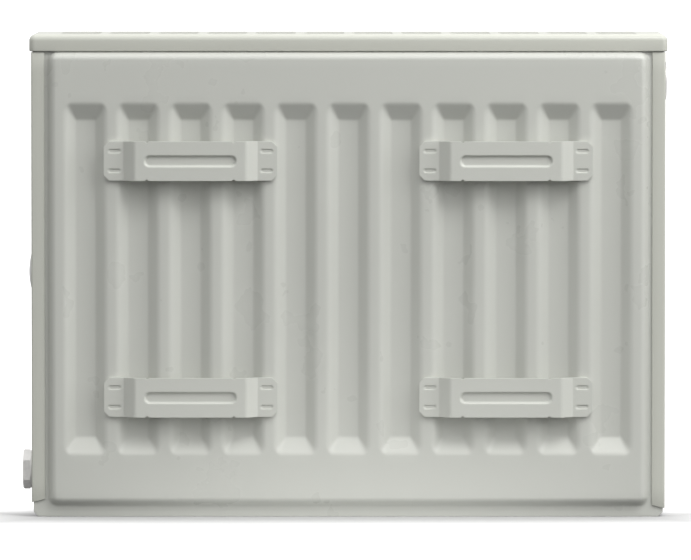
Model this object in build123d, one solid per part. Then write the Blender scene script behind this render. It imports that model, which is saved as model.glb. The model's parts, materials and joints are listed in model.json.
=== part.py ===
from build123d import *
import math
import os

# A small double-panel steel radiator with two convectors, seen as it hangs on a wall.
# +Z is up, -Y faces the wall, +Y faces the room, and left and right are as seen from the wall side.
# The origin is under the middle of the radiator, level with the bottom edges that it stands on.
# All sizes are in millimetres.

# ---------------------------------------------------------------- overall sizes
PANEL_LENGTH = 400.0            # over the welded seams, side to side
PANEL_HEIGHT = 303.0            # over the welded seams, bottom to top
PANEL_DEPTH = 100.0             # from the wall-side crests to the room-side crests

# ---------------------------------------------------------------- pressed panel sheets
SHEET = 1.25                    # steel sheet of the water panels
CHANNEL_PITCH = 100.0 / 3       # one water channel to the next
CHANNEL_RISE = 5.5              # how far a channel stands out of its sheet
TROUGH_WIDTH = 25.6             # between two crests
HEADER_ZONE = 40.0              # from the seam edge to where the troughs begin
TROUGH_SIDE_ANGLE = 40.0        # degrees
TROUGH_END_ANGLE = 27.0         # degrees
SIDE_SEAM = 9.3                 # flat seam flange down each side
END_SEAM = 7.0                  # flat seam flange along the top and the bottom
FIELD_EDGE_ANGLE = 58.0         # degrees
FIELD_CORNER_RADIUS = 9.0
SEAM_CORNER_CUT = 3.0

# ---------------------------------------------------------------- convectors
FIN_SHEET = 0.5
FIN_FOOT = 12.0                 # flat foot that is welded to a channel
FIN_TOP = 16.0                  # flat top of each wave
FIN_BEND = 1.5                  # bend radius on the middle of the sheet
CONVECTOR_GAP = 7.0             # air gap between the two convectors
CONVECTOR_CLEARANCE = 2.0       # between a convector's end and the tees
LAST_FOOT = 8.7                 # the outermost foot is cut short of the panel's edge

# ---------------------------------------------------------------- corner tees
TAPPING_HEIGHT = 27.0           # from the seam edge to the tapping's axis, at the top and the bottom
NECK_INSET = 25.0               # from the panel's side to the neck's axis
TEE_RADIUS = 14.0
TEE_LENGTH = 40.0
TEE_PROUD = 0.3                 # tee face beyond the side cover
THREAD_BORE = 9.32              # minor radius of a G1/2 female thread
THREAD_DEPTH = 18.0
TEE_BORE = 7.0
TEE_END_WALL = 4.0
NECK_RADIUS = 10.0
TEE_MOUTH_CHAMFER = 1.0
PORT_CLEARANCE = 0.5            # hole in the sheet round the neck's bore

# ---------------------------------------------------------------- hanging straps
STRAP_SHEET = 2.0
STRAP_HEIGHT = 25.0
STRAP_SPACING = 150.0           # lower strap to upper strap
STRAP_PITCHES = 3               # channel pitches that one strap spans
STRAP_OVERHANG = 5.0            # strap end past the crest that it is welded to
STRAP_PAD = 13.4
STRAP_RAMP = 7.0
STRAP_GAP = 6.5                 # bracket pocket behind the plateau
STRAP_CORNER_CUT = 3.5
STRAP_BEND = 1.2
BEAD_LENGTH = 59.0
BEAD_HEIGHT = 8.0
BEAD_DEPTH = 1.8
BEAD_EDGE = 0.7
WELD_LENGTH = 8.0
WELD_HEIGHT = 3.0
WELD_DEPTH = 0.8
WELD_SPACING = 12.4
NOTCH_RADIUS = 1.0

# ---------------------------------------------------------------- side covers
COVER_SHEET = 0.8
COVER_SIDE_GAP = 0.4            # panel edge to cover web
COVER_FACE_GAP = 0.4            # seam flange to cover flange
COVER_FLANGE = 8.4
COVER_BEND = 1.2
COVER_FOOT = {"left": 9.2, "right": 5.4}    # height of each cover's lower end
COVER_FOOT_SLANT = 2.0
COVER_TOP_GAP = 0.5             # under the grille's skirt
COVER_HOLE_CLEARANCE = 1.0      # round the tee

# ---------------------------------------------------------------- clips that hold a side cover
CLIP_SHEET = 0.6
CLIP_HEIGHT = 12.0
CLIP_BASE = 9.0
CLIP_LEG = 6.5
CLIP_CLEARANCE = 0.3
CLIP_FROM_MIDDLE = 90.0

# ---------------------------------------------------------------- top grille
GRILLE_SHEET = 0.8
GRILLE_RISE = 3.6               # top face above the panel's seams
GRILLE_SKIRT = 10.9             # full height of the skirt
GRILLE_SIDE_GAP = 0.4           # side cover to the grille's end skirt, seen from above
GRILLE_FACE_GAP = 0.3           # cover flange to the grille's long skirt, seen from above
GRILLE_FOLD = 4.0               # the upright corners
GRILLE_TOP_FOLD = 3.9           # the fold round the top
SLOT_WIDTH = 4.0                # the slots run lengthways, in rows
SLOT_LENGTH = 26.0
SLOT_GAP = 5.0                  # plain sheet between the ends of two slots
SLOT_ROW_GAP = 4.4              # plain rib between two rows
SLOT_END_MARGIN = 16.0          # least plain sheet beyond a row's ends
SLOT_SIDE_MARGIN = 7.5          # least plain sheet beside the outer rows

# ---------------------------------------------------------------- saddles under the grille
SADDLE_LENGTH = 12.0
SADDLE_LEG = 5.5
SADDLE_OUTER = 1.0
SADDLE_INNER = 2.0
SADDLE_CLEARANCE = 0.2
SADDLE_INSET = 60.0             # outermost saddles from the panel's sides

# ---------------------------------------------------------------- plugs
SHANK_CLEARANCE = 0.12
SHANK_LENGTH = 12.0
PLUG_FLANGE_RADIUS = 12.0
SEAL_RADIUS = 12.15
SEAL_CLEARANCE = 0.15
BLANK_SEAL = 1.5
BLANK_FLANGE = 0.8
BLANK_HEX = 22.0                # across flats
BLANK_HEX_LENGTH = 4.5
BLANK_HEX_CHAMFER = 0.8
VENT_SEAL = 0.8
VENT_FLANGE = 1.0
SPINDLE_RADIUS = 2.5
SPINDLE_SQUARE = 5.0
SPINDLE_LENGTH = 13.0
SPINDLE_SUNK = 0.6              # spindle end below the vent's face
SPINDLE_CLEARANCE = 0.15
VENT_OUTLET = 1.2
NOZZLE_RADIUS = 7.0
NOZZLE_DEPTH = 5.5
NOZZLE_WALL_CLEARANCE = 0.2
NOZZLE_BORE = 3.8
NOZZLE_OUTLET = 0.9
NOZZLE_OUTLET_OFFSET = 5.4

# ---------------------------------------------------------------- blanking cap in the left cover
CAP_HEIGHT = 154.2              # axis above the floor
CAP_RADIUS = 11.35
CAP_RIM = 1.6
CAP_CROWN = 3.1
CAP_SHANK_RADIUS = 9.8
CAP_SHANK_LENGTH = 6.0
CAP_WALL = 1.5
CAP_BARB = 0.2
CAP_HOLE_CLEARANCE = 0.4

# ---------------------------------------------------------------- derived places
PANEL_THICKNESS = 2 * (SHEET + CHANNEL_RISE)
STRAP_PROUD = STRAP_GAP + STRAP_SHEET
MIDDLE_Y = STRAP_PROUD / 2                      # centre of the two panels, so the whole depth is centred
HALF_DEPTH = PANEL_DEPTH / 2
SEAM_Y = HALF_DEPTH - PANEL_THICKNESS / 2       # seam plane from the middle
SEAM_FACE = SEAM_Y + SHEET                      # outer face of the seam flange from the middle
INNER_CREST = HALF_DEPTH - PANEL_THICKNESS      # inner crest plane from the middle
MIDDLE_Z = PANEL_HEIGHT / 2
HALF_LENGTH = PANEL_LENGTH / 2
TROUGHS = int(PANEL_LENGTH / CHANNEL_PITCH + 0.001) - 1
TROUGH_X = [(i - (TROUGHS - 1) / 2) * CHANNEL_PITCH for i in range(TROUGHS)]
STRAP_X = {"left": TROUGH_X[2], "right": TROUGH_X[-3]}
COVER_WEB = HALF_LENGTH + COVER_SIDE_GAP                    # inner face of the cover's web
COVER_SIDE = COVER_WEB + COVER_SHEET
COVER_INNER_FACE = SEAM_FACE + COVER_FACE_GAP
COVER_OUTER_FACE = COVER_INNER_FACE + COVER_SHEET
TEE_FACE = COVER_SIDE + TEE_PROUD
GRILLE_TOP = PANEL_HEIGHT + GRILLE_RISE
GRILLE_FOOT = GRILLE_TOP - GRILLE_SKIRT
GRILLE_END = COVER_SIDE + GRILLE_SIDE_GAP + GRILLE_SHEET
GRILLE_FACE = COVER_OUTER_FACE + GRILLE_FACE_GAP + GRILLE_SHEET
CONVECTOR_INSET = TAPPING_HEIGHT + TEE_RADIUS + CONVECTOR_CLEARANCE     # from the panel's end
TAPPING_Z = {"lower": TAPPING_HEIGHT, "upper": PANEL_HEIGHT - TAPPING_HEIGHT}
SIDE = {"left": -1, "right": 1}
FACING = {"rear": -1, "front": 1}
CAP_HOLE = CAP_SHANK_RADIUS + CAP_HOLE_CLEARANCE


def run_of(rise, angle):
    """Horizontal run of a slope that climbs rise at angle degrees."""
    return rise / math.tan(math.radians(angle))


def wall_shift(angle):
    """Sideways shift between the two faces of a sheet bent up at angle degrees."""
    return SHEET * math.tan(math.radians(angle / 2))


def block(x, y, z):
    """A box from its (low, high) limits along each axis."""
    size = [high - low for low, high in (x, y, z)]
    centre = [(high + low) / 2 for low, high in (x, y, z)]
    return Pos(*centre) * Box(*size)


def rod(radius, start, end, y=0.0, z=0.0):
    """A cylinder along X from start to end."""
    length = abs(end - start)
    return Pos((start + end) / 2, y, z) * Rot(0, 90, 0) * Cylinder(radius, length)


# ---------------------------------------------------------------- pressed panel sheets
# A sheet is drawn lying on its seam plane, with its pressed side up: x along the panel,
# y up the panel and z out of the sheet.

def trough(floor_z, grow_side, grow_end):
    """The tapered pocket between two crests, running well above the crests."""
    side_run = run_of(CHANNEL_RISE, TROUGH_SIDE_ANGLE)
    end_run = run_of(CHANNEL_RISE, TROUGH_END_ANGLE)
    floor_width = TROUGH_WIDTH - 2 * side_run + 2 * grow_side
    floor_length = PANEL_HEIGHT - 2 * HEADER_ZONE - 2 * end_run + 2 * grow_end
    climb = CHANNEL_RISE + 2 * SHEET
    mouth_width = floor_width + 2 * run_of(climb, TROUGH_SIDE_ANGLE)
    mouth_length = floor_length + 2 * run_of(climb, TROUGH_END_ANGLE)
    floor = (Plane.XY.offset(floor_z) * Rectangle(floor_width, floor_length)).face()
    mouth = (Plane.XY.offset(floor_z + climb) * Rectangle(mouth_width, mouth_length)).face()
    return loft([floor, mouth], ruled=True)


def field(base_z, shrink):
    """The raised field of a sheet, without its troughs."""
    run = run_of(CHANNEL_RISE, FIELD_EDGE_ANGLE)
    width = PANEL_LENGTH - 2 * SIDE_SEAM - 2 * shrink
    height = PANEL_HEIGHT - 2 * END_SEAM - 2 * shrink
    radius = FIELD_CORNER_RADIUS - shrink
    base = Plane.XY.offset(base_z) * RectangleRounded(width, height, radius)
    top = Plane.XY.offset(base_z + CHANNEL_RISE) * RectangleRounded(
        width - 2 * run, height - 2 * run, radius - run)
    return loft([base.face(), top.face()], ruled=True)


def pressed_sheet():
    """One pressed half of a water panel."""
    pocket = trough(SHEET, 0.0, 0.0)
    raised = field(SHEET, 0.0) - [Pos(x, 0, 0) * pocket for x in TROUGH_X]

    outline = Rectangle(PANEL_LENGTH, PANEL_HEIGHT)
    outline = chamfer(outline.vertices(), SEAM_CORNER_CUT)
    flange = extrude(outline, SHEET)

    ridge = trough(0.0, wall_shift(TROUGH_SIDE_ANGLE), wall_shift(TROUGH_END_ANGLE))
    hollow = field(0.0, wall_shift(FIELD_EDGE_ANGLE)) - [Pos(x, 0, 0) * ridge for x in TROUGH_X]
    return (flange + raised) - hollow


def stand_up(sheet, panel, outwards):
    """Stand a sheet upright on a panel's seam plane, pressed side to the wall (-1) or the room (1)."""
    seam = Vector(0, MIDDLE_Y + FACING[panel] * SEAM_Y, MIDDLE_Z)
    return Plane(origin=seam, x_dir=(-outwards, 0, 0), z_dir=(0, outwards, 0)) * sheet


def neck_places():
    """Each neck's x and z, keyed by height and side."""
    return {
        (level, side): (SIDE[side] * (HALF_LENGTH - NECK_INSET), TAPPING_Z[level])
        for level in TAPPING_Z
        for side in SIDE
    }


def with_ports(sheet):
    """A pressed sheet with its four water ports, still lying down."""
    ports = [
        Pos(x, z - MIDDLE_Z, CHANNEL_RISE) * Cylinder(TEE_BORE + PORT_CLEARANCE, 4 * SHEET)
        for x, z in neck_places().values()
    ]
    return sheet - ports


# ---------------------------------------------------------------- convectors

def convector(panel):
    """A corrugated sheet whose feet lie on a panel's inner crests."""
    depth = INNER_CREST - CONVECTOR_GAP / 2
    low = FIN_SHEET / 2
    high = depth - FIN_SHEET / 2
    points = [(TROUGH_X[0] - CHANNEL_PITCH / 2 - LAST_FOOT + FIN_FOOT / 2, low)]
    for x in TROUGH_X:
        points += [
            (x - CHANNEL_PITCH / 2 + FIN_FOOT / 2, low),
            (x - FIN_TOP / 2, high),
            (x + FIN_TOP / 2, high),
            (x + CHANNEL_PITCH / 2 - FIN_FOOT / 2, low),
        ]
    points += [(TROUGH_X[-1] + CHANNEL_PITCH / 2 + LAST_FOOT - FIN_FOOT / 2, low)]
    middle = FilletPolyline(*points, radius=FIN_BEND)
    section = make_face(offset(middle, FIN_SHEET / 2, side=Side.BOTH).edges())
    foot = Vector(0, MIDDLE_Y + FACING[panel] * INNER_CREST, CONVECTOR_INSET)
    length = PANEL_HEIGHT - 2 * CONVECTOR_INSET
    sheet = extrude(section, length)
    if panel == "front":
        sheet = Rot(0, 0, 180) * sheet
    return Pos(*foot) * sheet


# ---------------------------------------------------------------- corner tees

def tee(level, side):
    """A corner tee: its tapping opens sideways and its two necks meet the inner sheets."""
    way = SIDE[side]
    x, z = neck_places()[(level, side)]
    face = way * TEE_FACE
    inner_end = way * (TEE_FACE - TEE_LENGTH)
    neck_length = 2 * INNER_CREST
    neck_at = Pos(x, MIDDLE_Y, z) * Rot(90, 0, 0)
    solid = rod(TEE_RADIUS, face, inner_end, MIDDLE_Y, z)
    solid = fillet(solid.edges().filter_by(GeomType.CIRCLE), TEE_MOUTH_CHAMFER)
    solid += neck_at * Cylinder(NECK_RADIUS, neck_length)
    solid -= rod(THREAD_BORE, face + way, face - way * THREAD_DEPTH, MIDDLE_Y, z)
    solid -= rod(TEE_BORE, face, inner_end + way * TEE_END_WALL, MIDDLE_Y, z)
    solid -= neck_at * Cylinder(TEE_BORE, neck_length + 2)
    return solid


# ---------------------------------------------------------------- hanging straps
# A strap is drawn lying down: x along it, y across it and z away from the panel's crests.

def hanging_strap():
    """A bridge of strip steel: two welded pads, two ramps and a raised, beaded plateau."""
    half = STRAP_PITCHES * CHANNEL_PITCH / 2 + STRAP_OVERHANG
    pad_end = half - STRAP_PAD
    top = pad_end - STRAP_RAMP
    lean = STRAP_SHEET * math.tan(math.atan2(STRAP_GAP, STRAP_RAMP) / 2)
    over = [(half, STRAP_SHEET), (pad_end + lean, STRAP_SHEET), (top + lean, STRAP_PROUD)]
    under = [(top, STRAP_GAP), (pad_end, 0), (half, 0)]
    far_over = [(-x, z) for x, z in reversed(over)]
    far_under = [(-x, z) for x, z in reversed(under)]
    profile = Plane.XZ * make_face(Polyline(*over, *far_over, *far_under, *under, close=True))
    solid = extrude(profile, STRAP_HEIGHT / 2, both=True)
    folds = [
        e for e in solid.edges().filter_by(Axis.Y)
        if 1e-3 < half - abs(e.center().X)
    ]
    solid = fillet(folds, STRAP_BEND)

    outline = chamfer(Rectangle(2 * half, STRAP_HEIGHT).vertices(), STRAP_CORNER_CUT)
    solid &= extrude(outline, 2 * STRAP_PROUD)

    bead = SlotOverall(BEAD_LENGTH, BEAD_HEIGHT)
    pressed = chamfer(extrude(bead, BEAD_DEPTH).edges().group_by(Axis.Z)[0], BEAD_EDGE)
    solid += Pos(0, 0, STRAP_GAP - BEAD_DEPTH) * pressed
    solid -= Pos(0, 0, STRAP_PROUD - BEAD_DEPTH) * pressed

    weld = extrude(SlotOverall(WELD_LENGTH, WELD_HEIGHT), WELD_DEPTH)
    weld_x = half - STRAP_PAD / 2
    for way in (-1, 1):
        for row in (-1, 1):
            solid -= Pos(way * weld_x, row * WELD_SPACING / 2, STRAP_SHEET - WELD_DEPTH) * weld
            notch = Cylinder(NOTCH_RADIUS, 4 * STRAP_PROUD)
            solid -= Pos(way * (BEAD_LENGTH / 2 - BEAD_HEIGHT / 4), row * STRAP_HEIGHT / 2, 0) * notch
    return solid


def hang(strap, level, side):
    """Put a strap on the wall-side crests."""
    rise = {"lower": -STRAP_SPACING / 2, "upper": STRAP_SPACING / 2}[level]
    place = Vector(STRAP_X[side], MIDDLE_Y - HALF_DEPTH, MIDDLE_Z + rise)
    return Plane(origin=place, x_dir=(1, 0, 0), z_dir=(0, -1, 0)) * strap


# ---------------------------------------------------------------- side covers

def side_cover(side):
    """A U-shaped cover that closes one end of the radiator."""
    low = COVER_FOOT[side]
    high = GRILLE_FOOT - COVER_TOP_GAP
    tip = COVER_SIDE - COVER_FLANGE
    outer = block((tip, COVER_SIDE), (-COVER_OUTER_FACE, COVER_OUTER_FACE), (low, high))
    inner = block((tip - 1, COVER_WEB), (-COVER_INNER_FACE, COVER_INNER_FACE), (low - 1, high + 1))
    folds = [e for e in outer.edges().filter_by(Axis.Z) if e.center().X > COVER_WEB]
    inner_folds = [e for e in inner.edges().filter_by(Axis.Z) if e.center().X > tip]
    cover = fillet(folds, COVER_BEND) - fillet(inner_folds, COVER_BEND - COVER_SHEET)

    wedge = Polyline(
        (tip - 1, low - 1), (COVER_WEB, low - 1), (COVER_WEB, low),
        (tip, low + COVER_FOOT_SLANT), (tip - 1, low + COVER_FOOT_SLANT), close=True)
    cover -= extrude(Plane.XZ * make_face(wedge), PANEL_DEPTH, both=True)
    for z in TAPPING_Z.values():
        cover -= rod(TEE_RADIUS + COVER_HOLE_CLEARANCE, COVER_WEB - 1, COVER_SIDE + 1, 0, z)
    if side == "left":
        cover -= rod(CAP_HOLE, COVER_WEB - 1, COVER_SIDE + 1, 0, CAP_HEIGHT)
        cover = mirror(cover, Plane.YZ)
    return Pos(0, MIDDLE_Y, 0) * cover


def cover_clips(side):
    """Spring clips inside a cover: each leg lies behind a seam flange."""
    way = SIDE[side]
    seam_inside = SEAM_Y - SHEET - CLIP_CLEARANCE
    clips = []
    for facing in FACING.values():
        for rise in (-CLIP_FROM_MIDDLE, CLIP_FROM_MIDDLE):
            z = (MIDDLE_Z + rise - CLIP_HEIGHT / 2, MIDDLE_Z + rise + CLIP_HEIGHT / 2)
            across = sorted((facing * seam_inside, facing * (seam_inside - CLIP_BASE)))
            leg_y = sorted((facing * seam_inside, facing * (seam_inside - CLIP_SHEET)))
            base_x = sorted((way * COVER_WEB, way * (COVER_WEB - CLIP_SHEET)))
            leg_x = sorted((way * COVER_WEB, way * (COVER_WEB - CLIP_LEG)))
            clip = block(base_x, across, z) + block(leg_x, leg_y, z)
            clips.append(Pos(0, MIDDLE_Y, 0) * clip)
    return clips


# ---------------------------------------------------------------- top grille

def top_grille():
    """A slotted lid with a skirt all round."""
    outer = block((-GRILLE_END, GRILLE_END), (-GRILLE_FACE, GRILLE_FACE), (GRILLE_FOOT, GRILLE_TOP))
    ends = GRILLE_END - GRILLE_SHEET
    faces = GRILLE_FACE - GRILLE_SHEET
    under = (GRILLE_FOOT - 1, GRILLE_TOP - GRILLE_SHEET)
    inner = block((-ends, ends), (-faces, faces), under)
    lid = rounded_lid(outer, 0.0) - rounded_lid(inner, GRILLE_SHEET)

    slots = [
        Pos(x, y) * SlotOverall(SLOT_LENGTH, SLOT_WIDTH)
        for x in spread(2 * (GRILLE_END - SLOT_END_MARGIN), SLOT_LENGTH, SLOT_GAP)
        for y in spread(2 * (GRILLE_FACE - SLOT_SIDE_MARGIN), SLOT_WIDTH, SLOT_ROW_GAP)
    ]
    lid -= Pos(0, 0, GRILLE_TOP - 2 * GRILLE_SHEET) * extrude(Sketch() + slots, 3 * GRILLE_SHEET)
    return Pos(0, MIDDLE_Y, 0) * lid


def spread(room, size, gap):
    """Middles of as many things of one size as fit in the room with a gap between them."""
    count = int((room + gap) / (size + gap))
    return [(i - (count - 1) / 2) * (size + gap) for i in range(count)]


def rounded_lid(solid, inwards):
    """Fold a box's upright corners and the edges round its top, that far inside the outer face."""
    solid = fillet(solid.edges().filter_by(Axis.Z), GRILLE_FOLD - inwards)
    return fillet(solid.edges().group_by(Axis.Z)[-1], GRILLE_TOP_FOLD - inwards)


def grille_saddles():
    """Plastic saddles that carry the grille on the top seams."""
    saddles = []
    outside = SEAM_FACE + SADDLE_CLEARANCE
    inside = SEAM_Y - SHEET - SADDLE_CLEARANCE
    top = GRILLE_TOP - GRILLE_SHEET
    for facing in FACING.values():
        for x in (-HALF_LENGTH + SADDLE_INSET, 0.0, HALF_LENGTH - SADDLE_INSET):
            along = (x - SADDLE_LENGTH / 2, x + SADDLE_LENGTH / 2)
            body_y = sorted((facing * (outside + SADDLE_OUTER), facing * (inside - SADDLE_INNER)))
            slot_y = sorted((facing * outside, facing * inside))
            body = block(along, body_y, (PANEL_HEIGHT - SADDLE_LEG, top))
            outer_edge = body.edges().filter_by(Axis.X).sort_by(lambda e: (e.center().Z, facing * e.center().Y))[-1]
            body = fillet(outer_edge, GRILLE_FOLD - GRILLE_SHEET)
            body -= block((x - SADDLE_LENGTH, x + SADDLE_LENGTH), slot_y, (0, PANEL_HEIGHT))
            saddles.append(Pos(0, MIDDLE_Y, 0) * body)
    return saddles


# ---------------------------------------------------------------- plugs, seals and vent
# These are drawn pointing along +X from the tee's face, which is at x = 0.

def seal(thickness):
    """A flat sealing ring."""
    bore = THREAD_BORE - SHANK_CLEARANCE + SEAL_CLEARANCE
    return rod(SEAL_RADIUS, 0, thickness) - rod(bore, -1, thickness + 1)


def plug_shank(reach):
    """The part of a plug that sits in the tapping and under its flange."""
    return rod(THREAD_BORE - SHANK_CLEARANCE, -SHANK_LENGTH, reach)


def blanking_plug():
    """A solid plug with a hexagon head."""
    flange_end = BLANK_SEAL + BLANK_FLANGE
    head_end = flange_end + BLANK_HEX_LENGTH
    head = extrude(RegularPolygon(BLANK_HEX / 2, 6, major_radius=False), BLANK_HEX_LENGTH)
    round_off = Cylinder(BLANK_HEX / math.sqrt(3), BLANK_HEX_LENGTH)
    round_off = chamfer(round_off.edges().group_by(Axis.Z)[-1], BLANK_HEX_CHAMFER)
    head &= Pos(0, 0, BLANK_HEX_LENGTH / 2) * round_off
    head = Pos(flange_end, 0, 0) * Rot(0, 90, 0) * head
    flange = rod(PLUG_FLANGE_RADIUS, BLANK_SEAL, flange_end)
    return plug_shank(head_end - 1) + flange + head


def vent_plug():
    """A flush plug, hollow for the bleed spindle and the swivelling nozzle."""
    face = VENT_SEAL + VENT_FLANGE
    solid = plug_shank(face) + rod(PLUG_FLANGE_RADIUS, VENT_SEAL, face)
    solid -= rod(NOZZLE_RADIUS + NOZZLE_WALL_CLEARANCE, face - NOZZLE_DEPTH, face + 1)
    seat = face - SPINDLE_SUNK - SPINDLE_LENGTH
    solid -= rod(SPINDLE_RADIUS + SPINDLE_CLEARANCE, seat, face)
    solid -= rod(VENT_OUTLET, -SHANK_LENGTH - 1, face)
    return solid


def bleed_spindle():
    """A round needle with a square end for the key."""
    end = VENT_SEAL + VENT_FLANGE - SPINDLE_SUNK
    shoulder = VENT_SEAL + VENT_FLANGE - NOZZLE_DEPTH + SPINDLE_CLEARANCE
    needle = rod(SPINDLE_RADIUS, end - SPINDLE_LENGTH, shoulder)
    square = block(
        (shoulder, end), (-SPINDLE_SQUARE / 2, SPINDLE_SQUARE / 2), (-SPINDLE_SQUARE / 2, SPINDLE_SQUARE / 2))
    return needle + chamfer(square.edges().filter_by(Axis.X), SPINDLE_SQUARE / 10)


def vent_nozzle():
    """The ring that turns round the spindle and points the outlet."""
    face = VENT_SEAL + VENT_FLANGE
    ring = rod(NOZZLE_RADIUS, face - NOZZLE_DEPTH, face) - rod(NOZZLE_BORE, -NOZZLE_DEPTH, face + 1)
    ring -= rod(NOZZLE_OUTLET, face - NOZZLE_DEPTH / 2, face + 1, 0, -NOZZLE_OUTLET_OFFSET)
    return ring


def screw_in(piece, level, side):
    """Put a plug piece on a tee's face."""
    turn = Rot(0, 0, 0) if side == "right" else Rot(0, 0, 180)
    return Pos(SIDE[side] * TEE_FACE, MIDDLE_Y, TAPPING_Z[level]) * turn * piece


def cover_cap():
    """A domed snap-in cap, drawn with the cover's face at z = 0 and the dome up."""
    rise = CAP_CROWN - CAP_RIM
    ball = (CAP_RADIUS ** 2 + rise ** 2) / (2 * rise)
    dome = Pos(0, 0, CAP_CROWN / 2) * Cylinder(CAP_RADIUS, CAP_CROWN)
    dome &= Pos(0, 0, CAP_CROWN - ball) * Sphere(ball)
    reach = COVER_SHEET + CAP_SHANK_LENGTH
    shank = Cylinder(CAP_SHANK_RADIUS, reach) - Cylinder(CAP_SHANK_RADIUS - CAP_WALL, reach)
    barb = Cylinder(CAP_SHANK_RADIUS + CAP_BARB, CAP_WALL) - Cylinder(CAP_SHANK_RADIUS - CAP_WALL, CAP_WALL)
    cap = dome + Pos(0, 0, -reach / 2) * shank + Pos(0, 0, -reach + CAP_WALL / 2) * barb
    return Pos(-COVER_SIDE, MIDDLE_Y, CAP_HEIGHT) * Rot(0, -90, 0) * cap


# ---------------------------------------------------------------- all nodes

def all_nodes():
    """Every node's name with its solid or list of solids."""
    plain = pressed_sheet()
    ported = with_ports(plain)
    strap = hanging_strap()
    nodes = {
        "rear_panel_outer_sheet": stand_up(plain, "rear", -1),
        "rear_panel_inner_sheet": stand_up(ported, "rear", 1),
        "front_panel_inner_sheet": stand_up(ported, "front", -1),
        "front_panel_outer_sheet": stand_up(plain, "front", 1),
        "rear_convector": convector("rear"),
        "front_convector": convector("front"),
        "top_grille": top_grille(),
        "grille_saddles": grille_saddles(),
        "blanking_plug": screw_in(blanking_plug(), "lower", "left"),
        "blanking_plug_seal": screw_in(seal(BLANK_SEAL), "lower", "left"),
        "vent_plug": screw_in(vent_plug(), "upper", "right"),
        "vent_plug_seal": screw_in(seal(VENT_SEAL), "upper", "right"),
        "bleed_spindle": screw_in(bleed_spindle(), "upper", "right"),
        "vent_nozzle": screw_in(vent_nozzle(), "upper", "right"),
        "side_cover_cap": cover_cap(),
    }
    for side in SIDE:
        nodes[f"{side}_side_cover"] = side_cover(side)
        nodes[f"{side}_cover_clips"] = cover_clips(side)
        for level in TAPPING_Z:
            nodes[f"{level}_{side}_tee"] = tee(level, side)
            nodes[f"{level}_{side}_hanging_strap"] = hang(strap, level, side)
    return nodes


os.makedirs("parts", exist_ok=True)
for name, shape in all_nodes().items():
    solids = shape if isinstance(shape, list) else [shape]
    export_step(Compound([s for piece in solids for s in piece.solids()]), f"parts/{name}.step")
    print(f"{name}: {sum(len(piece.solids()) for piece in solids)} solid(s)")
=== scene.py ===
"""The looks of a small panel radiator, seen from the wall side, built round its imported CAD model."""

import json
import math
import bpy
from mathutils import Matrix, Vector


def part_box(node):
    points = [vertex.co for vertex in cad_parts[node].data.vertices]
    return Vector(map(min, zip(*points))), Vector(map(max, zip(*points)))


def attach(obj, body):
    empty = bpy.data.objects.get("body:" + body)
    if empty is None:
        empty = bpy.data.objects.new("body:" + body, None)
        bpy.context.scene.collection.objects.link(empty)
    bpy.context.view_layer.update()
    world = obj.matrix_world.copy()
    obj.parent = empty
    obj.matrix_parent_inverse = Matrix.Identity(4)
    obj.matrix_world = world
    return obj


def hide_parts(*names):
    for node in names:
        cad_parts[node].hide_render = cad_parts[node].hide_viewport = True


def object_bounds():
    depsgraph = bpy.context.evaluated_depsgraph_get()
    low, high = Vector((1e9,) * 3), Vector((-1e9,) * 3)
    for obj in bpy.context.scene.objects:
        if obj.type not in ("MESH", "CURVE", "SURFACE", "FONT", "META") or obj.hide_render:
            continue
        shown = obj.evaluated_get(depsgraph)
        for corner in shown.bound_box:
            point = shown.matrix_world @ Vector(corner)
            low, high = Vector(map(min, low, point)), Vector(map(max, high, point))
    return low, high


bl_info = {
    "name": "Panel Radiator",
    "version": (1, 0, 0),
    "blender": (4, 5, 0),
    "location": "3D View > Sidebar > Radiator",
    "description": "Builds the finished meshes and enamels of a panel radiator",
    "category": "Object",
}

import bmesh
import bpy
import numpy as np
from bpy.props import FloatProperty, FloatVectorProperty, IntProperty, PointerProperty
from mathutils import Matrix, Vector

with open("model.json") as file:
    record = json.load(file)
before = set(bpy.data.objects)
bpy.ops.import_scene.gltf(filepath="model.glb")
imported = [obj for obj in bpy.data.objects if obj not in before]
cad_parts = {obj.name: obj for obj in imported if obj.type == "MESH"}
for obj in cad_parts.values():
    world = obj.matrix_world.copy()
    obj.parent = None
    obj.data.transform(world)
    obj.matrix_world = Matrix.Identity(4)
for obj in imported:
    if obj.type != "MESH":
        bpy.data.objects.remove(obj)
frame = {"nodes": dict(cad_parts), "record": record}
CAD_BOX = [list(corner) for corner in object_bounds()]

MM = 0.001
PANELS = ("rear", "front")
SHEETS = [(panel, half) for panel in PANELS for half in ("outer", "inner")]
OUTWARDS = {("rear", "outer"): -1, ("rear", "inner"): 1, ("front", "inner"): -1, ("front", "outer"): 1}
LEVELS = ("lower", "upper")
SIDES = ("left", "right")

BEND_STEPS = 6                  # faces round a fold of a strap or a cover
COVER_ROWS = 24                 # rows of points up a side cover
CUT_REACH = 5 * MM              # how far a hole's cutter stands out of the sheet on each side
SAME_PLACE = 1e-7               # two points this close are one
TROUGH_BLEND = 5.0              # how sharply a trough's side and end walls meet

DUST_DARKENS = 0.12             # how much full dust darkens an enamel
DUST_ROUGHENS = 0.25
ROUGHNESS_SPREAD = 0.04         # patches of an enamel are this much rougher or smoother
SAG_SHARE = 1.6                 # slow waves of an enamel against its fine ones
PEEL_HEIGHT = 0.4 * MM
SCRATCH_DEPTH = 0.04 * MM
SCRATCH_SCALE = (3000.0, 180.0, 180.0)
STAIN_SHARE = 0.82              # a stained metal's colour against its clean one
SENSOR_WIDTH = 36               # of the camera, in its own millimetres


# ------------------------------------------------------------------ settings

def millimetres(name, about, default):
    """A length property that is shown in the scene's units and given here in millimetres."""
    return FloatProperty(
        name=name, description=about, default=default * MM, subtype="DISTANCE", unit="LENGTH", precision=5)


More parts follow.
